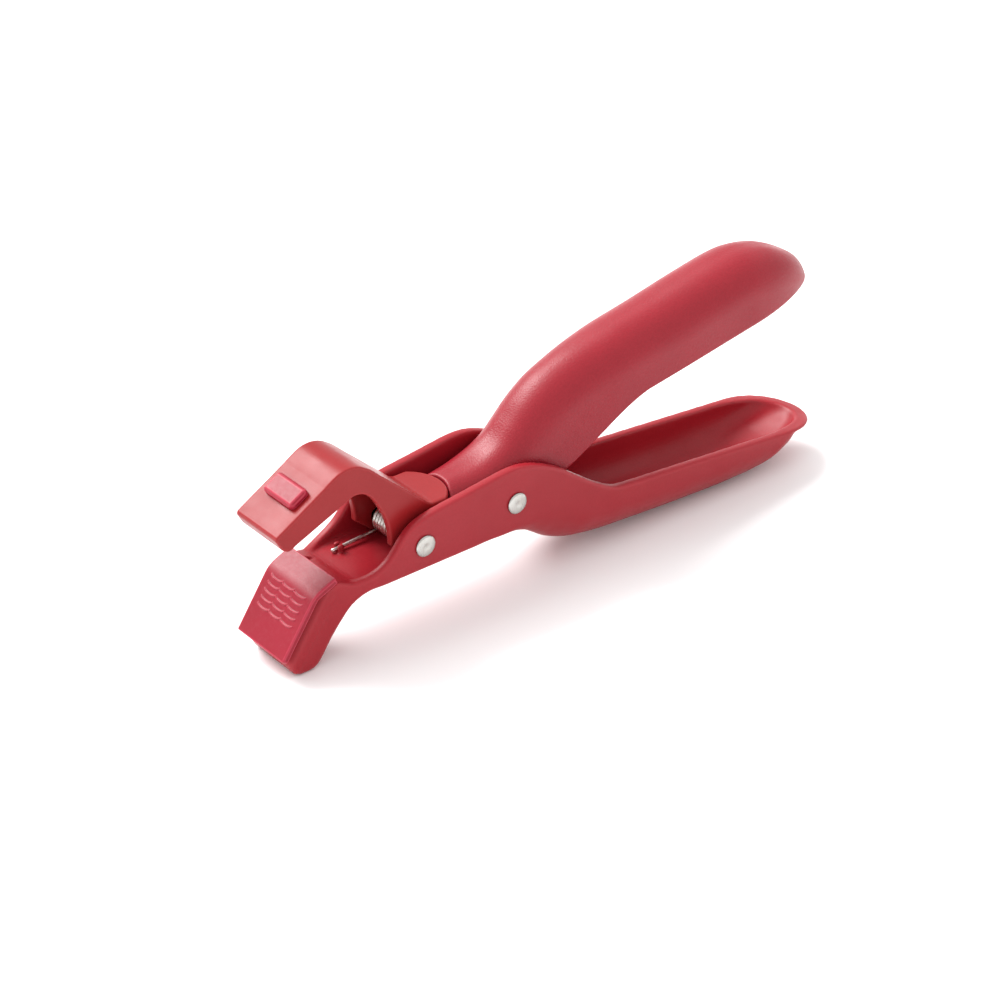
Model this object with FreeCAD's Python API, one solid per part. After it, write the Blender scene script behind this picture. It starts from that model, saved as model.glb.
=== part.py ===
import FreeCAD, Part
import math
import os

# Spring-open gripper clip: a channel body with a lower jaw and a trough-shaped grip, a squeeze
# lever on the rear pin, and an upper jaw arm on the front pin.
#
# All sizes are millimetres. Outlines are drawn in the side plane as (station, height), where the
# station runs from the front of the lower jaw to the tail and the height is above the table.
# The finished part is moved so that the origin is on the table under the middle of its length.

# Driving dimensions
TAIL_END = 202.9
BODY_HALF = 14.4
WALL = 3.0
FLOOR_UNDER = 20.0
FLOOR_TOP = 22.8
FRONT_PIN = (47.7, 28.0)
REAR_PIN = (80.0, 29.3)

# Lower jaw
JAW_HALF = 10.5
JAW_SHELL = 2.6
PAD_THICKNESS = 2.0
PAD_HALF = 11.1
PAD_FOOT = (1.1, 7.3)
PAD_BEND = (12.6, 23.8)
PAD_REAR = (19.9, 26.9)

# Upper jaw arm
ARM_HALF = 9.6
CHEEK = 2.2
ARM_SHELL = 3.0
HUB_RADIUS = 4.8
POCKET_FRONT = 6.5
POCKET_REAR = 25.5
POCKET_HALF = 7.0
TONGUE_END = 63.9
TONGUE_TOP = 36.9
TONGUE_ROUND = 11.8
TONGUE_GAP = 0.45
PAD_PROUD = 1.2

# Silicone plugs that hold the pads
PLUG_LENGTH = 13.6
PLUG_WIDTH = 7.0
PLUG_LIP = 1.2
PLUG_HEAD = 2.1
PLUG_BEVEL = 0.9
PLUG_CORNER = 1.2

# Squeeze lever
LEVER_HALF = 12.3
LEVER_ROUND = 172.5
LEVER_APEX = 201.8
LEVER_WALL = 2.4
LEVER_HUB_RADIUS = 5.2
LEVER_HUB_HALF = 10.3
RIM_SLOPE = 0.175
NOSE_TOP = (59.9, 32.65)

# Rivets and spring
BARREL_RADIUS = 2.25
STUD_RADIUS = 1.4
HEAD_RADIUS = 3.25
HEAD_THICKNESS = 0.9
HEAD_BEVEL = 0.5
RUNNING_CLEARANCE = 0.06
HUB_GAP = 0.2
BOSS_RADIUS = 4.4
WIRE_RADIUS = 0.55
LEG_RADIUS = 0.52
COIL_RADIUS = 3.35
COIL_PITCH = 1.25
COIL_TURNS = 9
COIL_END = 5.6
LEG_FOOT = (30.2, 23.6)
LEG_TOP = (37.2, 46.4)

# Tail hull
RIM_START = (117.3, 20.0)
RIM_FALL = 0.092
RIM_DROP_START = 182.0
RIM_DROP = 0.0028
STERN_START = 186.5
BASIN_START = 177.5
HULL_FRONT = 70.0
HULL_START = 82.0
HULL_DEPTH = 14.0
FLANK_SPARE = 0.3
OVERLAP = 0.6
ABOVE = 60.0
ARM_ABOVE = 70.0
BELOW = -5.0


def at(station, height, y=0.0):
    return FreeCAD.Vector(station, y, height)


def straight(points):
    """Straight edges through the given side-plane points."""
    places = [at(*point) for point in points]
    return [Part.LineSegment(a, b).toShape() for a, b in zip(places, places[1:])]


def smooth(points):
    """One smooth edge through the given side-plane points."""
    curve = Part.BSplineCurve()
    curve.interpolate([at(*point) for point in points])
    return [curve.toShape()]


def bend(start, corner, end):
    """A smooth edge that rounds off a corner, tangent to both of its sides."""
    curve = Part.BezierCurve()
    curve.setPoles([at(*start), at(*corner), at(*end)])
    return [curve.toShape()]


def arc(start, middle, end):
    """One circular edge through three side-plane points."""
    return [Part.Arc(at(*start), at(*middle), at(*end)).toShape()]


def prism(edges, half_width):
    """The closed outline extruded to both sides of the middle plane."""
    face = Part.Face(Part.Wire(edges))
    face.translate(FreeCAD.Vector(0, -half_width, 0))
    return face.extrude(FreeCAD.Vector(0, 2 * half_width, 0))


def polygon_prism(points, half_width):
    return prism(straight(points + points[:1]), half_width)


def around(pin, radius, degrees):
    """The side-plane point at an angle around a pin, measured from the tail direction upwards."""
    angle = math.radians(degrees)
    return (pin[0] + radius * math.cos(angle), pin[1] + radius * math.sin(angle))


def cross_rod(pin, radius, y_from, y_to):
    """A round rod along Y, centred on a pin."""
    return Part.makeCylinder(radius, y_to - y_from, at(*pin, y_from), FreeCAD.Vector(0, 1, 0))


def arch_points(half_width, depth, power, count=9):
    """Half a superellipse, as (y, rise) from one shoulder over the crown to the other."""
    points = []
    for step in range(count):
        angle = math.pi * step / (count - 1)
        across = math.copysign(abs(math.cos(angle)) ** (2 / power), math.cos(angle))
        points.append((half_width * across, depth * math.sin(angle) ** (2 / power)))
    return points


def arch_section(station, half_width, crown, depth, power, far):
    """A closed section: a rounded crown at one height, then straight sides to a flat far end."""
    direction = math.copysign(1.0, crown - far)
    shoulder = crown - direction * depth
    crown_points = [
        FreeCAD.Vector(station, y, shoulder + direction * rise)
        for y, rise in arch_points(half_width, depth, power)
    ]
    upright = FreeCAD.Vector(0, 0, direction)
    curve = Part.BSplineCurve()
    curve.interpolate(
        Points=crown_points, InitialTangent=upright, FinalTangent=-upright
    )
    near = FreeCAD.Vector(station, -half_width, far)
    away = FreeCAD.Vector(station, half_width, far)
    edges = [
        Part.LineSegment(away, crown_points[0]).toShape(),
        curve.toShape(),
        Part.LineSegment(crown_points[-1], near).toShape(),
        Part.LineSegment(near, away).toShape(),
    ]
    return Part.Wire(edges)


def round_end(station, start, apex, half_width):
    """Half width of a plan outline that is straight, then closes as half an ellipse."""
    if station <= start:
        return half_width
    return half_width * math.sqrt(1 - ((station - start) / (apex - start)) ** 2)


def rim_height(station):
    """Height of the trough's rim, which drops a little more towards the stern."""
    drop = RIM_DROP * max(0.0, station - RIM_DROP_START) ** 2
    return RIM_START[1] - RIM_FALL * (station - RIM_START[0]) - drop


def round_plan(half_width, start, apex):
    """An upright block with straight sides that closes at the rear as half an ellipse."""
    centre = at(start, BELOW)
    side = at(start, BELOW, half_width)
    ellipse = Part.Ellipse(at(apex, BELOW), side, centre)
    edges = [
        Part.ArcOfEllipse(ellipse, -math.pi / 2, math.pi / 2).toShape(),
        Part.LineSegment(side, at(HULL_FRONT, BELOW, half_width)).toShape(),
        Part.LineSegment(
            at(HULL_FRONT, BELOW, half_width), at(HULL_FRONT, BELOW, -half_width)
        ).toShape(),
        Part.LineSegment(
            at(HULL_FRONT, BELOW, -half_width), at(start, BELOW, -half_width)
        ).toShape(),
    ]
    face = Part.Face(Part.Wire(Part.sortEdges(edges)[0]))
    return face.extrude(FreeCAD.Vector(0, 0, ABOVE - BELOW))


def hull(stations, half_width):
    """A round-bottomed channel, open upwards, drawn through (station, keel height) pairs."""
    sections = []
    for station, keel in stations:
        depth = min(HULL_DEPTH, rim_height(station) - keel)
        sections.append(arch_section(station, half_width, keel, depth, 2.5, ABOVE))
    return Part.makeLoft(sections, True, False)


def hull_outside():
    """The tail's outside, drawn a little wide and trimmed to its plan."""
    keel_line = [
        (80, 21.0),
        (85, 18.6),
        (90, 13.4),
        (95, 8.8),
        (101, 5.4),
        (110, 3.5),
        (125, 2.2),
        (145, 0.9),
        (165, 0.0),
        (178, 0.5),
        (187, 1.9),
        (194, 4.2),
        (199, 6.7),
        (202, 8.7),
        (204, 10.2),
    ]
    wide = hull(keel_line, BODY_HALF + FLANK_SPARE)
    return wide.common(round_plan(BODY_HALF, STERN_START, TAIL_END))


def hull_inside():
    """The hollow of the tail, whose floor rises to the rim as a rounded basin."""
    floor_line = [
        (82, 23.6),
        (87, 21.0),
        (92, 15.8),
        (97, 11.4),
        (103, 8.2),
        (112, 6.3),
        (127, 5.1),
        (147, 3.8),
        (165, 3.1),
        (177, 3.8),
        (184, 5.1),
        (190, 6.9),
        (194.5, 8.7),
        (198, 10.4),
        (201, 12.0),
    ]
    half_width = BODY_HALF - WALL
    wide = hull(floor_line, half_width + FLANK_SPARE)
    return wide.common(round_plan(half_width, BASIN_START, TAIL_END - WALL))


def body_side_outline():
    """Side view of the body: jaw, floor, side walls and the open rim of the trough."""
    front = line_offset(PAD_FOOT, PAD_BEND, PAD_THICKNESS)
    top = line_offset(PAD_BEND, PAD_REAR, PAD_THICKNESS)
    corner = meeting(front, top)
    wall_front = (25.0, 23.6)
    wall_crest = (46.0, 36.1)
    rim_points = [(station, rim_height(station)) for station in (RIM_DROP_START, 190, 198, 206)]
    below = (206, 0.0)
    hull_from = (HULL_START, 0.0)
    return (
        straight([front[0], corner, top[1], wall_front])
        + smooth(
            [
                wall_front,
                (29.5, 24.5),
                (33.2, 25.8),
                (36.0, 27.6),
                (38.3, 29.9),
                (40.5, 32.5),
                (42.8, 34.6),
                wall_crest,
            ]
        )
        + smooth(
            [
                wall_crest,
                (50.0, 37.1),
                (55.7, 37.9),
                (62.0, 38.6),
                (69.5, 39.5),
                (75.5, 40.2),
                (79.5, 40.4),
                (83.5, 39.9),
                (88.0, 38.5),
                (95.0, 35.1),
                (103.0, 29.3),
                (110.5, 23.8),
                RIM_START,
            ]
        )
        + straight([RIM_START, rim_points[0]])
        + smooth(rim_points)
        + straight([rim_points[-1], below, hull_from])
        + straight([hull_from, (HULL_START, FLOOR_UNDER), (32.0, FLOOR_UNDER)])
        + bend((32.0, FLOOR_UNDER), (27.2, FLOOR_UNDER), (23.6, 15.0))
        + straight([(23.6, 15.0), (15.2, 3.0)])
        + smooth([(15.2, 3.0), (14.0, 0.9), (12.0, 0.0)])
        + straight([(12.0, 0.0), (7.4, 0.0), (5.6, 0.9), front[0]])
    )


def line_offset(start, end, distance):
    """The line moved to its right, as two side-plane points."""
    run = end[0] - start[0]
    rise = end[1] - start[1]
    size = math.hypot(run, rise)
    move = (rise / size * distance, -run / size * distance)
    return (
        (start[0] + move[0], start[1] + move[1]),
        (end[0] + move[0], end[1] + move[1]),
    )


def meeting(first, second):
    """Where two side-plane lines cross."""
    (ax, az), (bx, bz) = first
    (cx, cz), (dx, dz) = second
    run = (bx - ax, bz - az)
    other = (dx - cx, dz - cz)
    cross = run[0] * other[1] - run[1] * other[0]
    along = ((cx - ax) * other[1] - (cz - az) * other[0]) / cross
    return (ax + along * run[0], az + along * run[1])


def shoulder(side, y_sign):
    """One curved side of the plan, from the jaw's width out to the channel's width."""
    curve = Part.BSplineCurve()
    curve.interpolate(
        Points=[at(station, BELOW, y_sign * y) for station, y in side],
        InitialTangent=FreeCAD.Vector(1, 0, 0),
        FinalTangent=FreeCAD.Vector(1, 0, 0),
    )
    return curve.toShape()


def body_plan():
    """Plan outline of the jaw and channel, with shoulders from the jaw out to the side walls."""
    front = -5.0
    rear = HULL_START
    side = [(18.0, JAW_HALF), (27.0, 13.0), (36.0, BODY_HALF)]
    neck, wall = side[0], side[-1]
    edges = []
    for y_sign in (1, -1):
        corners = [(front, neck[1]), neck, wall, (rear, wall[1])]
        places = [at(station, BELOW, y_sign * y) for station, y in corners]
        edges.append(Part.LineSegment(places[0], places[1]).toShape())
        edges.append(shoulder(side, y_sign))
        edges.append(Part.LineSegment(places[2], places[3]).toShape())
    for station, y in ((front, neck[1]), (rear, wall[1])):
        edges.append(Part.LineSegment(at(station, BELOW, -y), at(station, BELOW, y)).toShape())
    face = Part.Face(Part.Wire(Part.sortEdges(edges)[0]))
    return face.extrude(FreeCAD.Vector(0, 0, ABOVE - BELOW))


def channel_box(x_from, x_to, half_width, z_from, z_to):
    size = (x_to - x_from, 2 * half_width, z_to - z_from)
    return Part.makeBox(*size, at(x_from, z_from, -half_width))


def plug(neck_length):
    """A pad's plug, built along +Z from the pad's inner face: a neck and a bevelled head."""
    neck = rounded_block(PLUG_LENGTH - 2 * PLUG_LIP, PLUG_WIDTH - 2 * PLUG_LIP, neck_length)
    head = rounded_block(PLUG_LENGTH, PLUG_WIDTH, PLUG_HEAD)
    top_edges = [edge for edge in head.Edges if edge.CenterOfMass.z > PLUG_HEAD - 0.001]
    head = head.makeChamfer(PLUG_BEVEL, top_edges)
    head.translate(FreeCAD.Vector(0, 0, neck_length))
    return neck.fuse(head)


def rounded_block(length, width, height):
    """A block with rounded corners: length across the jaw, width along it."""
    block = Part.makeBox(width, length, height, FreeCAD.Vector(-width / 2, -length / 2, 0))
    uprights = [
        edge
        for edge in block.Edges
        if abs(edge.Vertexes[0].Point.z - edge.Vertexes[1].Point.z) > height / 2
    ]
    return block.makeFillet(PLUG_CORNER, uprights)


def lay_on(shape, place, outward):
    """Turn a shape built along +Z so that it points outward in the side plane, and move it."""
    angle = math.degrees(math.atan2(outward[0], outward[1]))
    shape.rotate(FreeCAD.Vector(0, 0, 0), FreeCAD.Vector(0, 1, 0), angle)
    shape.translate(at(*place))
    return shape


def middle(start, end, share=0.5):
    return (
        start[0] + share * (end[0] - start[0]),
        start[1] + share * (end[1] - start[1]),
    )


def inward_normal(start, end):
    """Unit normal to the right of a side-plane line."""
    size = math.hypot(end[0] - start[0], end[1] - start[1])
    return ((end[1] - start[1]) / size, -(end[0] - start[0]) / size)


def base_body():
    outside = body_plan().fuse(hull_outside())
    body = outside.common(prism(body_side_outline(), BODY_HALF))
    body = body.cut(channel_box(23.5, 88.0, BODY_HALF - WALL, FLOOR_TOP, ABOVE))
    body = body.cut(hull_inside())
    body = body.cut(jaw_pocket())
    for pin, hub_half in ((FRONT_PIN, ARM_HALF), (REAR_PIN, LEVER_HUB_HALF)):
        inner = hub_half + HUB_GAP
        for y_from, y_to in ((-BODY_HALF + 1, -inner), (inner, BODY_HALF - 1)):
            body = body.fuse(cross_rod(pin, BOSS_RADIUS, y_from, y_to))
        body = body.cut(cross_rod(pin, BARREL_RADIUS, -BODY_HALF - 1, BODY_HALF + 1))
    body = body.cut(lower_plug())
    return body.removeSplitter()


def jaw_pocket():
    """The hollow in the back of the lower jaw, which leaves a shell around the front plate."""
    front = line_offset(PAD_FOOT, PAD_BEND, PAD_THICKNESS + JAW_SHELL)
    return polygon_prism(
        [
            middle(*front, 0.28),
            middle(*front, 0.86),
            (20.0, 19.4),
            (30.0, 16.0),
            (20.0, 3.0),
            (9.8, 3.0),
        ],
        JAW_HALF - JAW_SHELL,
    )


def lower_plug():
    front = line_offset(PAD_FOOT, PAD_BEND, PAD_THICKNESS / 2)
    inward = inward_normal(PAD_FOOT, PAD_BEND)
    shape = plug(PAD_THICKNESS / 2 + JAW_SHELL)
    return lay_on(shape, middle(*front, 0.57), inward)


def lower_jaw_pad():
    """The silicone cover over the lower jaw's front plate and crest."""
    foot, bend_inside = line_offset(PAD_FOOT, PAD_BEND, PAD_THICKNESS)
    rear_line = line_offset(PAD_BEND, PAD_REAR, PAD_THICKNESS)
    corner = meeting((foot, bend_inside), rear_line)
    before = middle(PAD_FOOT, PAD_BEND, 0.88)
    after = middle(PAD_BEND, PAD_REAR, 0.32)
    outline = (
        straight([foot, PAD_FOOT, before])
        + bend(before, PAD_BEND, after)
        + straight([after, PAD_REAR, rear_line[1], corner, foot])
    )
    return prism(outline, PAD_HALF).fuse(lower_plug()).removeSplitter()


def arm_underside(station):
    """Height of the upper jaw plate's lower edge."""
    return 39.8 + 0.412 * (station - 6.0)


def arm_top(station):
    """Height of the upper jaw plate's top face."""
    return 45.6 + 0.57 * (station - 2.8)


def arm_outline():
    """Side view of the arm: front plate, arch, hub around the front pin, and rear tongue."""
    tip = (2.8, 45.6)
    plate_end = (20.0, arm_top(20.0))
    slope_start = (33.6, 55.5)
    slope_end = (52.4, 38.1)
    tongue_start = (55.2, TONGUE_TOP)
    tongue_edge = (TONGUE_END - 0.6, TONGUE_TOP)
    tongue_end = (TONGUE_END, TONGUE_TOP - 0.6)
    tongue_lip = (TONGUE_END, 31.84)
    push_start = (60.2, 32.93)
    hub_rear = around(FRONT_PIN, HUB_RADIUS, 10)
    hub_low = around(FRONT_PIN, HUB_RADIUS, -90 - 31.5)
    cheek_front = (39.8, 28.6)
    apex = (30.8, 48.6)
    return (
        straight([tip, plate_end])
        + smooth([plate_end, (23.5, 57.4), (27.0, 58.1), (30.6, 57.3), slope_start])
        + straight([slope_start, slope_end])
        + bend(slope_end, (53.7, TONGUE_TOP), tongue_start)
        + straight([tongue_start, tongue_edge])
        + bend(tongue_edge, (TONGUE_END, TONGUE_TOP), tongue_end)
        + straight([tongue_end, tongue_lip])
        + arc(tongue_lip, (62.2, 32.55), push_start)
        + straight([push_start, (54.5, 33.2), hub_rear])
        + arc(hub_rear, around(FRONT_PIN, HUB_RADIUS, -60), hub_low)
        + straight([hub_low, cheek_front])
        + smooth([cheek_front, (39.0, 35.5), (36.3, 42.2), (33.3, 46.8), apex])
        + smooth([apex, (28.6, 48.9), (26.2, arm_underside(26.2))])
        + straight([(26.2, arm_underside(26.2)), (7.0, arm_underside(7.0))])
        + smooth([(7.0, arm_underside(7.0)), (4.6, 40.9), (2.5, 43.8), tip])
    )


def arm_hollow():
    """The space between the cheeks, under the arch and around the spring."""
    return polygon_prism(
        [
            (28.6, 44.0),
            (28.0, 53.6),
            (30.8, 53.8),
            (46.0, 40.4),
            (51.4, 35.4),
            (53.2, 33.6),
            (54.6, 31.0),
            (54.6, 18.0),
            (34.0, 18.0),
            (34.0, 36.0),
        ],
        ARM_HALF - CHEEK,
    )


def arm_pocket(lower_clearance):
    """The hollow under the front plate that the upper pad fills."""
    return polygon_prism(
        [
            (POCKET_FRONT, arm_underside(POCKET_FRONT) - lower_clearance),
            (POCKET_FRONT, arm_top(POCKET_FRONT) - ARM_SHELL),
            (POCKET_REAR - 2.5, arm_top(POCKET_REAR - 2.5) - ARM_SHELL - 0.4),
            (POCKET_REAR, arm_top(POCKET_REAR - 2.5) - ARM_SHELL - 0.4),
            (POCKET_REAR, arm_underside(POCKET_REAR) - lower_clearance),
        ],
        POCKET_HALF,
    )


def upper_plug():
    slope = ((2.8, arm_top(2.8)), (20.0, arm_top(20.0)))
    inward = inward_normal(*slope)
    outward = (-inward[0], -inward[1])
    seat = line_offset(*slope, ARM_SHELL + 0.5)
    return lay_on(plug(ARM_SHELL + 0.5), middle(*seat, 0.6), outward)


def jaw_arm():
    arm = prism(arm_outline(), ARM_HALF)
    arm = arm.cut(arm_hollow())
    arm = arm.cut(arm_pocket(8.0))
    bore = BARREL_RADIUS + RUNNING_CLEARANCE
    arm = arm.cut(cross_rod(FRONT_PIN, bore, -ARM_HALF - 1, ARM_HALF + 1))
    arm = arm.cut(upper_plug())
    arm = arm.common(tongue_plan())
    return arm.removeSplitter()


def tongue_disc(radius, z_from, z_to):
    """An upright disc about the centre of the tongue's rounded end."""
    centre = FreeCAD.Vector(TONGUE_END - TONGUE_ROUND, 0, z_from)
    return Part.makeCylinder(radius, z_to - z_from, centre)


def tongue_plan():
    """Plan outline that rounds the rear end of the tongue."""
    block = channel_box(BELOW, TONGUE_END - TONGUE_ROUND, ARM_HALF, 0, ARM_ABOVE)
    return block.fuse(tongue_disc(TONGUE_ROUND, 0, ARM_ABOVE))


def upper_jaw_pad():
    return arm_pocket(PAD_PROUD).fuse(upper_plug()).removeSplitter()


def lever_stations():
    """Station, half width and crown height of the lever's outside."""
    rows = [
        (56.0, 8.6, 36.2),
        (64.0, 8.9, 37.2),
        (71.0, 9.5, 37.9),
        (77.0, 10.0, 39.2),
        (82.5, 10.2, 42.2),
        (87.0, 10.4, 46.8),
        (92.0, 10.7, 52.0),
        (98.5, 10.8, 56.8),
        (107.0, 11.1, 60.4),
        (120.0, 11.9, 63.8),
        (140.0, 12.3, 67.5),
        (158.0, 12.3, 71.4),
    ]
    ends = [
        (173.0, 73.8),
        (182.0, 72.7),
        (189.0, 70.0),
        (194.8, 66.6),
        (198.6, 63.8),
        (200.6, 62.1),
        (201.5, 61.3),
    ]
    for station, crown in ends:
        rows.append((station, round_end(station, LEVER_ROUND, LEVER_APEX, LEVER_HALF), crown))
    return rows


def lever_rim(station):
    """Height of the lever's lower rim."""
    return 45.9 + RIM_SLOPE * (station - 127.8)


def lever_outside():
    sections = []
    for station, half_width, crown in lever_stations():
        depth = min(12.5, 0.92 * (crown - lever_rim(station))) if station > 130 else 12.5
        sections.append(arch_section(station, half_width, crown, depth, 2.3, 0.0))
    return Part.makeLoft(sections, True, False)


def lever_inside():
    sections = []
    for station, half_width, crown in lever_stations()[3:-1]:
        depth = min(11.0, 0.8 * (crown - lever_rim(station))) if station > 130 else 11.0
        narrow = max(half_width - LEVER_WALL, 1.2)
        sections.append(
            arch_section(station - 0.8, narrow, crown - LEVER_WALL, depth, 2.3, -2.0)
        )
    return Part.makeLoft(sections, True, False)


def lever_outline():
    """Side view of the lever: the nose under the tongue, the hub, and the rim of the grip."""
    tip_low = (59.7, 29.7)
    collar_top = (NOSE_TOP[0], 39.5)
    hub_front = around(REAR_PIN, LEVER_HUB_RADIUS, -120)
    hub_rear = around(REAR_PIN, LEVER_HUB_RADIUS, -66)
    rim_start = (131.0, lever_rim(131.0))
    rim_end = (206.0, lever_rim(206.0))
    return (
        arc(tip_low, (58.4, 31.1), NOSE_TOP)
        + straight([NOSE_TOP, collar_top, (75.0, 80.0), (206.0, 80.0), rim_end, rim_start])
        + smooth(
            [
                rim_start,
                (125.5, 44.4),
                (119.5, 41.2),
                (112.7, 36.9),
                (102.1, 30.8),
                (92.0, 26.9),
                hub_rear,
            ]
        )
        + arc(hub_rear, around(REAR_PIN, LEVER_HUB_RADIUS, -90), hub_front)
        + straight([hub_front, (65.0, 25.4), tip_low])
    )


def tongue_room():
    """The space over the lever's nose that the tongue's rounded end moves in."""
    front = (NOSE_TOP[0] - 4.0, NOSE_TOP[1])
    notch = (64.6, 30.9)
    outline = (
        straight([front, NOSE_TOP])
        + smooth([NOSE_TOP, (61.8, 32.2), (63.3, 31.6), notch])
        + straight([notch, (notch[0], ARM_ABOVE), (front[0], ARM_ABOVE), front])
    )
    disc = tongue_disc(TONGUE_ROUND + TONGUE_GAP, 0, ARM_ABOVE)
    return prism(outline, LEVER_HALF + 1).common(disc)


def upper_handle():
    lever = lever_outside().common(prism(lever_outline(), LEVER_HALF + 1))
    lever = lever.cut(lever_inside())
    lever = lever.cut(tongue_room())
    bore = BARREL_RADIUS + RUNNING_CLEARANCE
    lever = lever.cut(cross_rod(REAR_PIN, bore, -BODY_HALF, BODY_HALF))
    return lever.removeSplitter()


def rivet_head(pin, y_face, outward):
    """A low flat head with a bevelled edge, standing out from the side wall."""
    head = Part.makeCylinder(HEAD_RADIUS, HEAD_THICKNESS)
    rim = [edge for edge in head.Edges if edge.CenterOfMass.z > HEAD_THICKNESS - 0.001]
    head = head.makeChamfer(HEAD_BEVEL, rim)
    head.rotate(FreeCAD.Vector(0, 0, 0), FreeCAD.Vector(1, 0, 0), -90 * outward)
    head.translate(at(*pin, y_face))
    return head


def rivet_barrel(pin):
    """The tubular half of a rivet, with its head on the near side."""
    barrel = cross_rod(pin, BARREL_RADIUS, -BODY_HALF, BODY_HALF)
    barrel = barrel.fuse(rivet_head(pin, -BODY_HALF, -1))
    return barrel.cut(cross_rod(pin, STUD_RADIUS, -BODY_HALF + 6, BODY_HALF)).removeSplitter()


def rivet_stud(pin):
    """The half that is pressed into the barrel, with its head on the far side."""
    stud = cross_rod(pin, STUD_RADIUS, -BODY_HALF + 8, BODY_HALF)
    return stud.fuse(rivet_head(pin, BODY_HALF, 1)).removeSplitter()


def tangent_leg(far_end, side):
    """Direction and length of the line from a leg's far end to where it touches the coil."""
    run = FRONT_PIN[0] - far_end[0]
    rise = FRONT_PIN[1] - far_end[1]
    distance = math.hypot(run, rise)
    angle = math.atan2(rise, run) + side * math.asin(COIL_RADIUS / distance)
    return angle, math.sqrt(distance**2 - COIL_RADIUS**2)


def spring_leg(far_end, angle, size, y):
    along = FreeCAD.Vector(math.cos(angle), 0, math.sin(angle))
    return Part.makeCylinder(LEG_RADIUS, size + OVERLAP, at(*far_end, y), along)


def torsion_spring():
    """Close-wound wire on the front rivet, one leg on the floor and one under the arch."""
    lower_angle, lower_size = tangent_leg(LEG_FOOT, -1)
    upper_angle, upper_size = tangent_leg(LEG_TOP, 1)
    first = math.degrees(lower_angle) - 90
    last = math.degrees(upper_angle) + 90
    height = COIL_PITCH * (COIL_TURNS + (last - first) / 360)
    helix = Part.makeHelix(COIL_PITCH, height, COIL_RADIUS)
    start = helix.Edges[0].valueAt(helix.Edges[0].FirstParameter)
    along = helix.Edges[0].tangentAt(helix.Edges[0].FirstParameter)
    ring = Part.Wire(Part.makeCircle(WIRE_RADIUS, start, along))
    coil = Part.Wire(helix.Edges).makePipeShell([ring], True, True)
    coil.rotate(FreeCAD.Vector(0, 0, 0), FreeCAD.Vector(0, 0, 1), first)
    coil.rotate(FreeCAD.Vector(0, 0, 0), FreeCAD.Vector(1, 0, 0), 90)
    coil.translate(at(*FRONT_PIN, COIL_END))
    lower_leg = spring_leg(LEG_FOOT, lower_angle, lower_size, COIL_END)
    upper_leg = spring_leg(LEG_TOP, upper_angle, upper_size, COIL_END - height)
    return coil.fuse([lower_leg, upper_leg])


def main():
    os.makedirs("parts", exist_ok=True)
    nodes = {
        "base_body": base_body(),
        "upper_handle": upper_handle(),
        "jaw_arm": jaw_arm(),
        "lower_jaw_pad": lower_jaw_pad(),
        "upper_jaw_pad": upper_jaw_pad(),
        "front_rivet_barrel": rivet_barrel(FRONT_PIN),
        "front_rivet_stud": rivet_stud(FRONT_PIN),
        "rear_rivet_barrel": rivet_barrel(REAR_PIN),
        "rear_rivet_stud": rivet_stud(REAR_PIN),
        "torsion_spring": torsion_spring(),
    }
    middle_station = (PAD_FOOT[0] + TAIL_END) / 2
    for name, shape in nodes.items():
        shape.translate(FreeCAD.Vector(-middle_station, 0, 0))
        shape.exportStep(f"parts/{name}.step")
        box = shape.BoundBox
        print(name, shape.isValid(), len(shape.Solids), round(shape.Volume), box)


main()
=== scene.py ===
import math

import bpy
import numpy as np
from mathutils import Matrix, Vector


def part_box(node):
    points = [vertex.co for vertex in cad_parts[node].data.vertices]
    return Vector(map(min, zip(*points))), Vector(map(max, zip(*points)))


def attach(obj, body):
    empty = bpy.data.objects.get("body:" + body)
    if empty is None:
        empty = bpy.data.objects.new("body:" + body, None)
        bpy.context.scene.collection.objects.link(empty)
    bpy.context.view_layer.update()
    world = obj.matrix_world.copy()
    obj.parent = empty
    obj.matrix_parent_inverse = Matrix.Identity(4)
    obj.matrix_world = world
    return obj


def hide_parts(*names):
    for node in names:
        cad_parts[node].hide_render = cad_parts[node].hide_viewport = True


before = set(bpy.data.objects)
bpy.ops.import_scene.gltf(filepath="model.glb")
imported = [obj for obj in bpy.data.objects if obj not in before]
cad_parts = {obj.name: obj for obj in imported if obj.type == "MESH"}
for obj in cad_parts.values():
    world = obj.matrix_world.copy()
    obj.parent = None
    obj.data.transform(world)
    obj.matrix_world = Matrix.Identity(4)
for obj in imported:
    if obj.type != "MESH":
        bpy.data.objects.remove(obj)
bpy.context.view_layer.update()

# The moulded pieces are drawn as distance fields, in millimetres, and meshed at their zero level.
# "Station" runs from the front of the lower jaw to the tail; height is above the table.
MM = 0.001
FRONT_PIN = (47.7, 28.0)
REAR_PIN = (80.0, 29.3)
PAD_FOOT = (1.1, 7.3)
PAD_BEND = (12.6, 23.8)
PAD_REAR = (19.9, 26.9)
PAD_CORNER = (13.91, 22.18)
PAD_THICK = 2.0
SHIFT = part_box("lower_jaw_pad")[0][0] / MM - PAD_FOOT[0]
BODY_HALF = 14.4
BODY_WALL = 3.0
STERN_START = 186.5
TAIL_END = 202.9
TROUGH_START = 160.0
LEVER_HALF = 12.3
LEVER_WALL = 2.4
LEVER_END = 201.7
BORE_RADIUS = 2.31
ARM_HALF = 9.6
TONGUE_CENTRE = 52.1
TONGUE_RADIUS = 11.8
TONGUE_ROOM = 12.25
SPRING_SIDE = 5.6
WAVE_ROWS = 5


# ---------------------------------------------------------------- curves and fields

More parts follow.
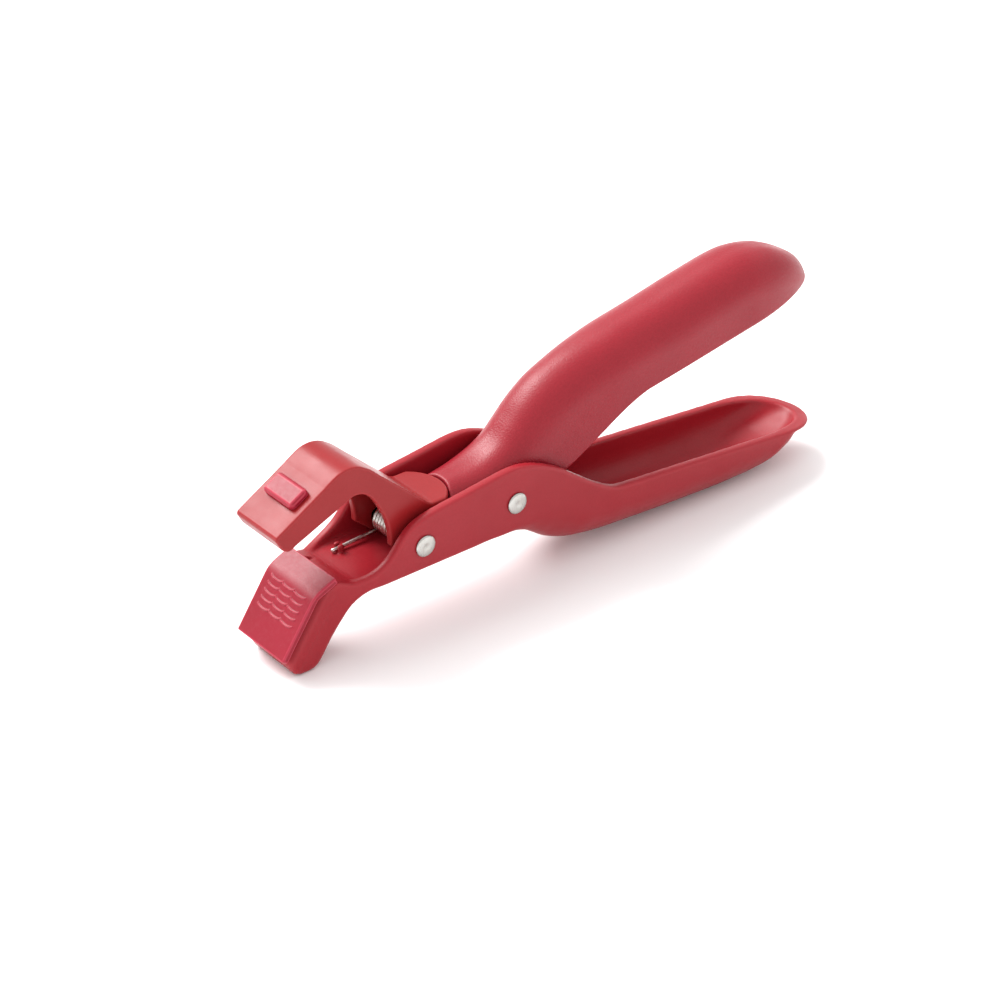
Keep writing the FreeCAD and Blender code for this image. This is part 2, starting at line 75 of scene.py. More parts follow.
def smooth(points, per=10):
    """Points along a smooth curve through the given ones."""
    p = np.array(points, float)
    gaps = np.linalg.norm(np.diff(p, axis=0), axis=1)
    slope = np.empty_like(p)
    slope[1:-1] = (
        (p[1:-1] - p[:-2]) / gaps[:-1, None] * gaps[1:, None]
        + (p[2:] - p[1:-1]) / gaps[1:, None] * gaps[:-1, None]
    ) / (gaps[:-1] + gaps[1:])[:, None]
    slope[0] = 2 * (p[1] - p[0]) / gaps[0] - slope[1]
    slope[-1] = 2 * (p[-1] - p[-2]) / gaps[-1] - slope[-2]
    out = []
    for i, gap in enumerate(gaps):
        u = np.linspace(0, 1, per, endpoint=False)[:, None]
        out.append(
            p[i] * (2 * u**3 - 3 * u**2 + 1) + p[i + 1] * (3 * u**2 - 2 * u**3)
            + gap * slope[i] * (u**3 - 2 * u**2 + u) + gap * slope[i + 1] * (u**3 - u**2)
        )
    return np.vstack(out + [p[-1:]]).tolist()


def bend(start, corner, end, per=8):
    """Points that round off a corner."""
    a, b, c = (np.array(v, float) for v in (start, corner, end))
    u = np.linspace(0, 1, per)[:, None]
    return ((1 - u) ** 2 * a + 2 * u * (1 - u) * b + u**2 * c).tolist()


def around(pin, radius, start, end, per=14):
    """Points on an arc around a pin, in degrees from the tail direction upwards."""
    turns = np.radians(np.linspace(start, end, per))
    return [(pin[0] + radius * math.cos(a), pin[1] + radius * math.sin(a)) for a in turns]


def ramp(x, start, end, low=0.0, high=1.0):
    """A smooth change from low to high between two stations."""
    t = np.clip((x - start) / (end - start), 0, 1)
    return low + (high - low) * t * t * (3 - 2 * t)


def round_end(start, apex, half_width, per=40):
    """Half of a plan end that closes as half an ellipse."""
    turns = np.linspace(0, math.pi / 2, per)
    return [(start + (apex - start) * math.sin(a), half_width * math.cos(a)) for a in turns]


def mirrored(half):
    """The field of a plan outline given by its far half."""
    return outline(half + [(x, -y) for x, y in half[::-1]][1:])


def outline(points):
    """Signed distance from a closed flat outline, negative inside."""
    ends = np.array(points, float)
    pairs = list(zip(ends, np.roll(ends, -1, axis=0)))

    def distance(u, v):
        u, v = np.broadcast_arrays(u, v)
        best = np.full(u.shape, 1e9)
        inside = np.zeros(u.shape, bool)
        for (au, av), (bu, bv) in pairs:
            eu, ev = bu - au, bv - av
            size = eu * eu + ev * ev
            if size < 1e-12:
                continue
            t = np.clip(((u - au) * eu + (v - av) * ev) / size, 0, 1)
            best = np.minimum(best, (u - au - t * eu) ** 2 + (v - av - t * ev) ** 2)
            if av != bv:
                crosses = (av <= v) != (bv <= v)
                inside ^= crosses & (u < au + (v - av) * eu / ev)
        return np.where(inside, -1.0, 1.0) * np.sqrt(best)

    return distance


def both(a, b, r):
    """Where two fields overlap, with the edge rounded to a radius."""
    return np.minimum(-r, np.maximum(a, b)) + np.hypot(
        np.maximum(a + r, 0), np.maximum(b + r, 0)
    )


def either(a, b, r):
    """Two fields joined, with a fillet where they meet."""
    return -both(-a, -b, r)


def cut(a, b, r):
    """The first field less the second, with the edge rounded."""
    return both(a, -b, r)


def plane(start, end):
    """Signed distance in the side plane, positive to the left of the line."""
    run, rise = end[0] - start[0], end[1] - start[1]
    size = math.hypot(run, rise)
    return lambda x, z: ((z - start[1]) * run - (x - start[0]) * rise) / size


def rod(pin, radius):
    """Signed distance from a cylinder on a pin's axis."""
    return lambda x, z: np.hypot(x - pin[0], z - pin[1]) - radius


# ---------------------------------------------------------------- meshing

def interpolate(values, where):
    """Values of a grid between its points."""
    base = np.clip(np.floor(where).astype(int), 0, np.array(values.shape) - 2)
    share = where - base
    total = np.zeros(len(where))
    for corner in range(8):
        step = np.array([corner & 1, corner >> 1 & 1, corner >> 2 & 1])
        weight = np.where(step, share, 1 - share).prod(axis=1)
        total += weight * values[tuple((base + step).T)]
    return total


def surface(field, low, high, step):
    """Points, quads and edge sharpness of a field's zero level.

    Each grid cell that the surface crosses gets one point, at the mean of the crossings on its
    edges, and each crossed grid edge gets one quad. The points are then drawn onto the level.
    """
    axes = [np.arange(a, b + step, step) for a, b in zip(low, high)]
    x, y, z = np.meshgrid(*axes, indexing="ij", sparse=True)
    values = np.broadcast_to(field(x, y, z), [len(a) for a in axes]).astype(np.float32)
    inside = values < 0
    count = np.zeros([n - 1 for n in inside.shape], np.int8)
    for corner in range(8):
        a, b, c = corner & 1, corner >> 1 & 1, corner >> 2 & 1
        count += inside[
            a:a + count.shape[0], b:b + count.shape[1], c:c + count.shape[2]
        ].astype(np.int8)
    active = (count > 0) & (count < 8)
    number = np.full(active.shape, -1, np.int64)
    number[active] = np.arange(active.sum())
    cells = np.argwhere(active)
    total = np.zeros((len(cells), 3))
    hits = np.zeros((len(cells), 1))
    quads = []
    for axis in range(3):
        one, two = (axis + 1) % 3, (axis + 2) % 3
        for a in (0, 1):
            for b in (0, 1):
                start = cells.copy()
                start[:, one] += a
                start[:, two] += b
                end = start.copy()
                end[:, axis] += 1
                at_start = values[tuple(start.T)]
                at_end = values[tuple(end.T)]
                crosses = (at_start < 0) != (at_end < 0)
                place = start[crosses].astype(float)
                place[:, axis] += (at_start / (at_start - at_end + 1e-20))[crosses]
                total[crosses] += place
                hits[crosses] += 1
        ahead = np.moveaxis(inside, axis, 0)
        changes = np.argwhere(ahead[1:] != ahead[:-1])
        order = np.argsort([axis] + [k for k in range(3) if k != axis])
        corner = changes[:, order]
        corner = corner[(corner[:, one] > 0) & (corner[:, two] > 0)]
        corner = corner[
            (corner[:, one] < active.shape[one]) & (corner[:, two] < active.shape[two])
        ]
        ring = []
        for a, b in ((0, 0), (1, 0), (1, 1), (0, 1)):
            other = corner.copy()
            other[:, one] -= a
            other[:, two] -= b
            ring.append(number[tuple(other.T)])
        ring = np.stack(ring, 1)
        leaving = inside[tuple(corner.T)]
        ring[~leaving] = ring[~leaving][:, ::-1]
        quads.append(ring)
    where = total / hits
    slopes = np.gradient(values)
    for _ in range(3):
        rise = np.stack([interpolate(s, where) for s in slopes], 1)
        size = (rise**2).sum(axis=1, keepdims=True) + 1e-9
        where -= np.clip(interpolate(values, where)[:, None] * rise / size, -0.4, 0.4)
    bending = sum(np.gradient(s, axis=k) for k, s in enumerate(slopes)) / step**2
    edge = np.clip(interpolate(bending, where), 0, 2)
    return where * step + [a[0] for a in axes], np.vstack(quads), edge


def piece(name, points, faces, body, nodes, slot, material, edge=None):
    """A mesh object that rides on a body and stands for CAD nodes."""
    points = np.asarray(points, float).copy()
    points[:, 0] += SHIFT
    mesh = bpy.data.meshes.new(name)
    faces = np.asarray(faces)
    corners = faces.shape[1]
    mesh.vertices.add(len(points))
    mesh.vertices.foreach_set("co", (points * MM).astype(np.float32).ravel())
    mesh.loops.add(faces.size)
    mesh.loops.foreach_set("vertex_index", faces.astype(np.int32).ravel())
    mesh.polygons.add(len(faces))
    mesh.polygons.foreach_set("loop_start", np.arange(0, faces.size, corners, dtype=np.int32))
    mesh.update(calc_edges=True)
    mesh.validate()
    mesh.polygons.foreach_set("use_smooth", np.ones(len(mesh.polygons), bool))
    # Edge sharpness, which the materials use to paint a highlight along edges and ridges.
    edge_highlight = mesh.attributes.new("edge", "FLOAT", "POINT")
    if edge is not None:
        edge_highlight.data.foreach_set("value", edge.astype(np.float32))
    mesh.materials.append(material)
    thing = bpy.data.objects.new(name, mesh)
    bpy.context.scene.collection.objects.link(thing)
    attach(thing, body)
    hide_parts(*nodes)
    return thing


def moulded(name, field, low, high, step, body, nodes, slot, material):
    coarse = 1.0
    points, quads, edge = surface(field, low, high, step * coarse)
    return piece(name, points, quads, body, nodes, slot, material, edge)


# ---------------------------------------------------------------- moulded body

def shifted(start, end, distance):
    """A line moved to its right."""
    run, rise = end[0] - start[0], end[1] - start[1]
    size = math.hypot(run, rise)
    move = np.array([rise, -run]) / size * distance
    return (np.array(start) + move).tolist(), (np.array(end) + move).tolist()


def rim_height(x):
    """Height of the trough's rim, which dips a little at the tail."""
    return 20.0 - 0.092 * (x - 117.3) - 0.0028 * np.maximum(0, x - 182.0) ** 2


def body_field():
    """The jaw foot, the channel between two cheeks, the pin bosses and the trough grip."""
    front = shifted(PAD_FOOT, PAD_BEND, PAD_THICK)
    crest = shifted(PAD_BEND, PAD_REAR, PAD_THICK)
    low_front = np.array(front[0]) - 3 * (np.array(front[1]) - np.array(front[0]))
    wall = smooth([(25.0, 23.5), (29.5, 24.4), (33.2, 25.8), (36.0, 27.6), (38.3, 29.9)]
                  + [(40.5, 32.5), (42.8, 34.5), (46.0, 36.1), (50.0, 37.1), (55.7, 37.9)]
                  + [(62.0, 38.6), (69.5, 39.5), (75.5, 40.2), (79.5, 40.4), (83.5, 39.9)]
                  + [(88.0, 38.5), (95.0, 35.1), (103.0, 29.4), (110.5, 24.0), (117.3, 20.4)]
                  + [(124.0, 19.4), (132.0, 18.65)])
    rim = [(x, rim_height(x)) for x in np.linspace(135, 212, 60)]
    over = outline([low_front.tolist(), PAD_CORNER, crest[1]] + wall + rim + [(212, -60)])
    keel = smooth([(66, 20.0), (74, 19.9), (80, 19.1), (85, 16.7), (90, 12.9), (95, 8.9)]
                  + [(101, 5.6), (110, 3.6), (125, 2.2), (145, 0.9), (165, 0.1), (178, 0.5)]
                  + [(187, 1.9), (194, 4.2), (199, 6.7), (202, 8.7), (212, 17)])
    belly = bend((32.0, 20.0), (27.2, 20.0), (23.6, 15.0)) + [(15.2, 3.0)]
    foot = bend((15.2, 3.0), (13.2, 0.0), (10.5, 0.0)) + [(7.4, 0.0), (5.6, 0.9), (-10, 29.6)]
    under = outline([(-10, 90), (212, 90)] + keel[::-1] + belly + foot)
    stern_x, stern_z = np.array([
        (TROUGH_START, -1.0), (178.0, 0.0), (187.0, 2.2), (191.0, 4.0),
        (195.0, 5.9), (199.0, 7.7), (TAIL_END, 9.0),
    ]).T
    flare_x, flare_z = np.array([
        (166.0, 0.0), (177.0, 4.5), (185.0, 8.5), (190.5, 10.8), (196.0, 8.5), (TAIL_END, 4.0),
    ]).T
    plan_side = smooth(
        [(18.0, 10.5), (22.5, 11.4), (27.0, 13.0), (31.5, 14.1), (36.0, BODY_HALF)], 8
    )
    plan = mirrored(
        [(-30.0, 10.5), (10.0, 10.5)] + plan_side + round_end(STERN_START, TAIL_END, BODY_HALF)
    )
    basin_side = [(x, y - BODY_WALL) for x, y in plan_side]
    basin_end = round_end(177.5, TAIL_END - BODY_WALL, BODY_HALF - BODY_WALL)
    basin = mirrored([(-30.0, 7.5), (10.0, 7.5)] + basin_side + basin_end)
    floor = bend((21.3, 40.0), (21.9, 22.8), (27.0, 22.8)) + [(76, 22.8)]
    floor += smooth([(76, 22.8), (82, 22.6), (87, 20.9), (92, 16.4), (97, 12.0), (103, 8.8)]
                    + [(112, 6.5), (127, 5.1), (147, 3.8), (165, 3.1), (177, 3.8), (184, 5.1)]
                    + [(190, 6.9), (194.5, 8.7), (198, 10.4), (201, 12.2), (206, 16)])
    hollow = outline(floor + [(206, 90), (21.3, 90)])
    back = shifted(PAD_FOOT, PAD_BEND, 4.6)
    along = np.array(back[1]) - np.array(back[0])
    pocket = outline([
        (back[0] + 0.28 * along).tolist(), (back[0] + 0.86 * along).tolist(),
        (20.0, 19.4), (30.0, 16.0), (20.0, 3.0), (9.8, 3.0),
    ])
    face = plane(front[0], front[1])
    pins = [
        (rod(pin, 4.4), rod(pin, 2.25), hub) for pin, hub in ((FRONT_PIN, 9.8), (REAR_PIN, 10.5))
    ]

    def field(x, y, z):
        behind = -face(x, z)
        groove = 1.7 * np.exp(-((behind - 0.9) / 1.3) ** 2) * ramp(x, 24.0, 17.0)
        rib = 0.22 * np.exp(-((behind - 5.3) / 0.5) ** 2) * ramp(x, 22.0, 18.0)
        belly_round = ramp(x, 74.0, 104.0, 1.5, 12.0) * ramp(x, 176.0, 201.0, 1.0, 0.17)
        basin_round = ramp(x, 76.0, 100.0, 1.3, 9.5) * ramp(x, 168.0, 198.0, 1.0, 0.45)
        outer = both(plan(x, y) + groove - rib, under(x, z), belly_round)
        inner = both(basin(x, y), hollow(x, z), basin_round)
        # The stern's underside sweeps up to the rim, at the sides before the middle.
        reach = np.clip((x - STERN_START) / (TAIL_END - STERN_START), 0.0, 0.98)
        beam = BODY_HALF * np.sqrt(1 - reach**2)
        sheer = np.minimum(np.abs(y) / beam, 1.0) ** 2.5 * np.interp(x, flare_x, flare_z)
        hull = np.minimum(np.interp(x, stern_x, stern_z) + sheer, rim_height(x) - 1.3)
        bilge = (hull - z) * 0.85 - 60.0 * (x < TROUGH_START)
        body = np.maximum(both(outer, bilge, 1.5), -both(inner, bilge + 2.4, 1.5))
        for boss, bore, hub in pins:
            collar = np.maximum(boss(x, z), np.maximum(hub - np.abs(y), np.abs(y) - 13.0))
            body = either(body, collar, 0.6)
        body = both(body, over(x, z), ramp(x, 20.0, 30.0, 0.6, 0.9))
        body = cut(body, both(np.abs(y) - 7.9, pocket(x, z), 0.8), 0.5)
        # A small keeper on the channel floor holds the spring's lower leg.
        keeper = both(
            np.abs(y - SPRING_SIDE) - 1.6, np.maximum(np.abs(x - 32.6) - 0.9, z - 25.2), 0.4
        )
        body = either(body, np.maximum(keeper, 22.0 - z), 0.4)
        body = np.maximum(body, 0.75 - np.hypot(y - SPRING_SIDE, z - 24.15) - 9 * (x > 45))
        for boss, bore, hub in pins:
            body = np.maximum(body, -bore(x, z))
        return body

    return field


# ---------------------------------------------------------------- squeeze lever

def lever_field():
    """The hollow lever: a rounded shell above a sole line, with its hub and nose."""
    crown = smooth([(50, 35.6), (56.0, 36.1), (64.0, 37.0), (71.0, 37.8), (77.0, 39.4)]
                   + [(82.5, 42.4), (87.0, 46.8), (92.0, 51.8), (98.5, 56.6), (107.0, 60.2)]
                   + [(120.0, 63.8), (140.0, 67.6), (158.0, 71.4), (168.0, 73.2), (174.5, 73.7)]
                   + [(182.0, 72.7), (189.0, 70.1), (194.8, 66.9), (198.6, 64.2), (203.0, 60.2)])
    top = outline(crown + [(203, -20), (50, -20)])
    side = smooth([(50, 8.4), (56.0, 8.6), (64.0, 8.9), (71.0, 9.5), (77.0, 10.0), (82.5, 10.2)]
                  + [(92.0, 10.6), (98.5, 10.8), (107.0, 11.1), (120.0, 11.9)]
                  + [(140.0, LEVER_HALF), (158.0, LEVER_HALF)], 6)
    plan = mirrored(side + round_end(172.5, LEVER_END, LEVER_HALF))
    nose = around((59.88, 31.17), 1.48, 263, 89)
    nose += [(59.9, 39.5), (75.0, 95.0), (210.0, 95.0)]
    rim = [(210.0, 60.28), (131.0, 46.46)]
    keel = smooth([(131.0, 46.46), (125.5, 44.4), (119.5, 41.2), (112.7, 36.9), (102.1, 30.8)]
                  + [(92.0, 26.9), (82.1, 24.55)], 8)
    nose_top = smooth([(59.9, 32.65), (61.8, 32.2), (63.3, 31.6), (64.6, 30.9)])
    room = outline([(50.0, 32.65)] + nose_top + [(66.0, 95.0), (50.0, 95.0)])
    hub = around(REAR_PIN, 5.2, -66, -120)
    sole = outline(nose + rim + keel + hub + [(65.0, 25.4)])
    front = outline([(75.6, -30), (75.6, 95), (220, 95), (220, -30)])
    bore = rod(REAR_PIN, BORE_RADIUS)

    def field(x, y, z):
        shape, height = plan(x, y), top(x, z)
        round_top = ramp(x, 70.0, 105.0, 7.6, 11.0) * ramp(x, 176.0, 201.0, 1.0, 0.5)
        outer = both(shape, height, round_top)
        inner = both(shape + LEVER_WALL, height + LEVER_WALL, np.maximum(round_top - 2.3, 1.0))
        inner = both(inner, front(x, z), 1.5)
        lever = both(np.maximum(outer, -inner), sole(x, z), ramp(x, 70.0, 100.0, 0.5, 0.95))
        tongue = np.maximum(room(x, z), np.hypot(x - TONGUE_CENTRE, y) - TONGUE_ROOM)
        lever = cut(lever, tongue, 0.35)
        return np.maximum(lever, -bore(x, z))

    return field


# ---------------------------------------------------------------- upper jaw arm

def plate_top(x):
    """Height of the jaw plate's sloping top."""
    return 45.6 + 0.57 * (x - 2.8)


def plate_under(x):
    """Height of the jaw plate's underside."""
    return 39.8 + 0.412 * (x - 6.0)


def arm_field():
    """The jaw plate, the arch behind it, the side cheeks with the hub, and the round tongue."""
    tip = smooth(
        [(8.5, plate_under(8.5)), (6.4, 40.05), (4.7, 40.9), (3.3, 43.1), (2.55, 44.6)], 6
    )
    arch = smooth([(19.0, plate_top(19.0)), (21.3, 56.3), (24.0, 57.6), (27.0, 58.05)]
                  + [(30.0, 57.5), (33.6, 55.4), (38.0, 51.4), (43.0, 46.8), (48.0, 42.2)])
    arch += bend((52.4, 38.1), (53.7, 36.9), (55.2, 36.9)) + [(63.9, 36.9), (63.9, 31.84)]
    under = around((59.62, 24.0), 8.93, 61.5, 89.0, 16)
    hub = around(FRONT_PIN, 4.8, 10, -121.5, 30)
    cheek = smooth([(39.8, 28.6), (39.0, 35.5), (36.3, 42.2), (33.3, 46.8), (30.9, 48.5)]
                   + [(28.4, 48.9), (25.6, plate_under(25.6)), (22.0, plate_under(22.0))])
    shape = outline(tip + [(2.8, 45.6)] + arch + under + [(54.5, 33.2)] + hub + cheek)
    hollow = outline([
        (28.6, 44.0), (28.0, 53.5), (30.8, 53.7), (46.0, 40.3), (51.4, 35.3), (53.2, 33.6),
        (54.6, 31.0), (54.6, 18.0), (34.0, 18.0), (34.0, 36.0),
    ])
    pocket = outline([
        (6.5, 30.0), (6.5, 44.7), (23.0, 54.1), (25.5, 54.1), (25.5, 30.0),
    ])
    bore = rod(FRONT_PIN, BORE_RADIUS)

    def field(x, y, z):
        past = x > TONGUE_CENTRE
        disc = np.where(past, np.hypot(x - TONGUE_CENTRE, y) - TONGUE_RADIUS, -10.0)
        width = np.maximum(np.abs(y) - ARM_HALF, disc)
        arm = both(width, shape(x, z), ramp(x, 50.0, 58.0, 0.45, 0.8))
        arm = cut(arm, both(np.abs(y) - 7.4, hollow(x, z), 0.9), 0.4)
        arm = cut(arm, both(np.abs(y) - 7.0, pocket(x, z), 0.5), 0.3)
        return np.maximum(arm, -bore(x, z))

    return field


# ---------------------------------------------------------------- silicone pads

def turned(start, end):
    """Coordinates along and to the left of a side-plane line, from its start."""
    run, rise = end[0] - start[0], end[1] - start[1]
    size = math.hypot(run, rise)
    run, rise = run / size, rise / size

    def place(x, z):
        dx, dz = x - start[0], z - start[1]
        return dx * run + dz * rise, dz * run - dx * rise

    return place


def plug_field(along, across, out, neck):
    """A plug that stands on a plane: a neck, then a bevelled head."""
    head = both(np.abs(along) - 3.45, np.abs(across) - 6.75, 1.5)
    bevel = (np.maximum(np.abs(along) - 3.45, np.abs(across) - 6.75) + out - neck - 1.25) * 0.72
    head = both(np.maximum(head, bevel), np.maximum(neck - out, out - neck - 2.05), 0.22)
    stem = np.maximum(both(np.abs(along) - 2.3, np.abs(across) - 5.6, 1.0), out - neck - 0.5)
    return np.minimum(head, np.maximum(stem, -out))


def lower_pad_field():
    """The pad folded over the front of the body, with five rows of wave ridges and a plug."""
    front = shifted(PAD_FOOT, PAD_BEND, PAD_THICK)
    crest = shifted(PAD_BEND, PAD_REAR, PAD_THICK)
    foot, fold, rear = (np.array(point) for point in (PAD_FOOT, PAD_BEND, PAD_REAR))
    rounded = bend(foot + 0.88 * (fold - foot), PAD_BEND, fold + 0.32 * (rear - fold), 14)
    shape = outline([front[0], PAD_FOOT] + rounded + [PAD_REAR, crest[1], PAD_CORNER])
    place = turned(PAD_BEND, PAD_FOOT)
    plug_at = turned(*shifted(PAD_FOOT, PAD_BEND, 1.0))

    def field(x, y, z):
        down, inward = place(x, z)
        pad = both(np.abs(y) - 11.1, shape(x, z), 0.5)
        wave = np.abs(np.mod(y / 5.4 + 0.5, 1.0) - 0.5) * 2
        sag = down - 0.75 * np.sqrt(np.maximum(1 - wave**2, 0))
        fade = ramp(np.abs(y), 8.4, 7.9)
        for row in range(WAVE_ROWS):
            line = np.exp(-((sag - 1.5 - 2.2 * row) / 0.2) ** 2)
            pad = pad - 0.36 * line * fade * (inward < 1.2) * (inward > -1.0)
        along, left = plug_at(x, z)
        plug = plug_field(along - 11.4, y, -left, 3.6)
        return np.minimum(pad, np.maximum(plug, left + 0.5))

    return field


def upper_pad_field():
    """The pad under the jaw plate, with a plug whose head stands on the plate."""
    slab = outline([
        (6.55, plate_under(6.5) - 0.9), (6.55, 44.6), (23.0, 54.0), (25.45, 54.0),
        (25.45, plate_under(25.5) - 0.9),
    ])
    place = turned((2.8, plate_top(2.8)), (20.0, plate_top(20.0)))

    def field(x, y, z):
        pad = both(np.abs(y) - 6.95, slab(x, z), 0.45)
        along, left = place(x, z)
        plug = plug_field(along - 11.9, y, left + 3.5, 3.5)
        return np.minimum(pad, plug)

    return field


# ---------------------------------------------------------------- steel pieces

def lathe(pin, rings, around_count=96):
    """Points and triangles of a turned shape on a pin's axis, from (y, radius) rings."""
    turns = np.linspace(0, 2 * math.pi, around_count, endpoint=False)
    points = []
    for y, radius in rings:
        points += [
            (pin[0] + radius * math.cos(a), y, pin[1] + radius * math.sin(a)) for a in turns
        ]
    faces = []
    for row in range(len(rings) - 1):
        for k in range(around_count):
            a, b = row * around_count + k, row * around_count + (k + 1) % around_count
            faces += [(a, b, b + around_count), (a, b + around_count, a + around_count)]
    first, last = len(points), len(points) + 1
    points += [(pin[0], rings[0][0], pin[1]), (pin[0], rings[-1][0], pin[1])]
    end = (len(rings) - 1) * around_count
    for k in range(around_count):
        after = (k + 1) % around_count
        faces += [(first, after, k), (last, end + k, end + after)]
    return points, faces


def turned_piece(name, pin, rings, body, node, material):
    """A steel piece turned on a pin's axis."""
    points, faces = lathe(pin, rings)
    return piece(name, points, faces, body, [node], "rivet_steel", material)


def head_rings(side):
    """A low domed rivet head with a rolled edge and a shallow dimple, from rim to centre."""
    rows = [(0.0, 3.1), (0.12, 3.22), (0.3, 3.25), (0.48, 3.2), (0.63, 3.06), (0.74, 2.8)]
    rows += [(0.81, 2.3), (0.86, 1.7), (0.88, 1.2), (0.85, 0.9), (0.8, 0.5), (0.79, 0.12)]
    return [(side * (14.4 + y), radius) for y, radius in rows]


def tube(path, radius, sides=14):
    """A round wire along a path of points, with rounded ends."""
    p = np.array(path, float)
    along = np.gradient(p, axis=0)
    along /= np.linalg.norm(along, axis=1, keepdims=True)
    side = np.cross(along[0], [0.3, 1.0, 0.2])
    points, faces = [], []
    for place, forward in zip(p, along):
        side = side - forward * side.dot(forward)
        side /= np.linalg.norm(side)
        other = np.cross(forward, side)
        for k in range(sides):
            a = 2 * math.pi * k / sides
            points.append(place + radius * (math.cos(a) * side + math.sin(a) * other))
    for row in range(len(p) - 1):
        for k in range(sides):
            a, b = row * sides + k, row * sides + (k + 1) % sides
            faces += [(a, b, b + sides), (a, b + sides, a + sides)]
    caps = [p[0] - along[0] * radius * 0.4, p[-1] + along[-1] * radius * 0.4]
    count = len(points)
    points += caps
    end = (len(p) - 1) * sides
    for k in range(sides):
        after = (k + 1) % sides
        faces += [(count, after, k), (count + 1, end + k, end + after)]
    return np.array(points), np.array(faces)


def spring_paths():
    """The coil with its lower leg, and the upper leg with the last stretch of the coil."""
    radius, pitch = 3.35, 1.25
    foot, top = (30.2, 23.6), (37.2, 46.4)

    def tangent(end, side):
        run, rise = FRONT_PIN[0] - end[0], FRONT_PIN[1] - end[1]
        return math.atan2(rise, run) + side * math.asin(radius / math.hypot(run, rise))

    first = tangent(foot, -1) - math.pi / 2
    last = tangent(top, 1) + math.pi / 2 + 9 * 2 * math.pi
    turns = np.linspace(first, last, 640)
    coil = np.stack([
        FRONT_PIN[0] + radius * np.cos(turns),
        SPRING_SIDE - pitch * (turns - first) / (2 * math.pi),
        FRONT_PIN[1] + radius * np.sin(turns),
    ], 1)
    lower = np.linspace((foot[0], SPRING_SIDE, foot[1]), coil[0], 24)[:-1]
    upper = np.linspace(coil[-1], (top[0], coil[-1][1], top[1]), 24)[1:]
    split = len(coil) - 50
    return np.vstack([lower, coil[:split + 8]]), np.vstack([coil[split:], upper])


# ---------------------------------------------------------------- materials

def new_material(name):
    """An empty procedural material, with the coordinates of the piece it is on."""
    material = bpy.data.materials.new(name)
    material.use_nodes = True
    nodes, links = material.node_tree.nodes, material.node_tree.links
    shader = next(n for n in nodes if n.type == "BSDF_PRINCIPLED")
    where = nodes.new("ShaderNodeTexCoord").outputs["Object"]
    return material, nodes, links, shader, where


def noise(nodes, links, where, scale, detail=2.0, rough=0.5):
    """Cloudy noise; the scale is in cycles per metre."""
    node = nodes.new("ShaderNodeTexNoise")
    node.inputs["Scale"].default_value = scale
    node.inputs["Detail"].default_value = detail
    node.inputs["Roughness"].default_value = rough
    links.new(where, node.inputs["Vector"])
    return node.outputs["Fac"]


def spread(nodes, links, value, low, high, start=0.35, end=0.65):
    """A value's middle range stretched to run from low to high."""
    node = nodes.new("ShaderNodeMapRange")
    node.inputs["From Min"].default_value = start
    node.inputs["From Max"].default_value = end
    node.inputs["To Min"].default_value = low
    node.inputs["To Max"].default_value = high
    links.new(value, node.inputs["Value"])
    return node.outputs["Result"]


def blend_colour(nodes, links, share, one, two):
    """A mix of two colours, each a triple or another node's output."""
    node = nodes.new("ShaderNodeMix")
    node.data_type = "RGBA"
    links.new(share, node.inputs["Factor"])
    for socket, colour in ((6, one), (7, two)):
        if isinstance(colour, tuple):
            node.inputs[socket].default_value = (*colour, 1.0)
        else:
            links.new(colour, node.inputs[socket])
    return node.outputs[2]


def bumps(nodes, links, height, strength, distance, under=None):
    """Relief of a depth in metres, laid over an earlier relief if there is one."""
    node = nodes.new("ShaderNodeBump")
    node.inputs["Strength"].default_value = strength
    node.inputs["Distance"].default_value = distance
    links.new(height, node.inputs["Height"])
    if under is not None:
        links.new(under, node.inputs["Normal"])
    return node.outputs["Normal"]


def painted_edge_highlight(nodes, links, colour, light, most):
    """Painted highlight: convex moulded edges and ridges are drawn in a paler tone."""
    edge_highlight = nodes.new("ShaderNodeAttribute")
    edge_highlight.attribute_name = "edge"
    edge = spread(nodes, links, edge_highlight.outputs["Fac"], 0.0, most, 0.25, 1.2)
    pale = tuple(min(1.0, c * 1.2 + 0.02) for c in light)
    return blend_colour(nodes, links, edge, colour, pale)


def plastic(name, deep, light, rough, grain, grain_height, specular):
    """Moulded plastic: slow colour drift, moulded grain, and a painted highlight that makes the
    edges paler.
    """
    material, nodes, links, shader, where = new_material(name)
    drift = spread(nodes, links, noise(nodes, links, where, 38.0, 3.0), 0.0, 1.0)
    speck = spread(nodes, links, noise(nodes, links, where, grain * 0.7, 2.0), 0.0, 1.0)
    colour = blend_colour(nodes, links, drift, deep, light)
    speckled = tuple(c * 0.86 for c in deep)
    share = spread(nodes, links, speck, 0.0, 0.35, 0.2, 1.0)
    colour = blend_colour(nodes, links, share, colour, speckled)
    # Painted highlight along convex edges and ridges.
    colour = painted_edge_highlight(nodes, links, colour, light, 0.34)
    links.new(colour, shader.inputs["Base Color"])
    patch = noise(nodes, links, where, 120.0, 4.0, 0.6)
    links.new(
        spread(nodes, links, patch, rough - 0.05, rough + 0.06), shader.inputs["Roughness"]
    )
    fine = noise(nodes, links, where, grain, 2.0, 0.6)
    slow = noise(nodes, links, where, 90.0, 1.0)
    normal = bumps(nodes, links, slow, 0.25, 0.0001)
    normal = bumps(nodes, links, fine, 1.0, grain_height, normal)
    links.new(normal, shader.inputs["Normal"])
    shader.inputs["Specular IOR Level"].default_value = specular
    return material


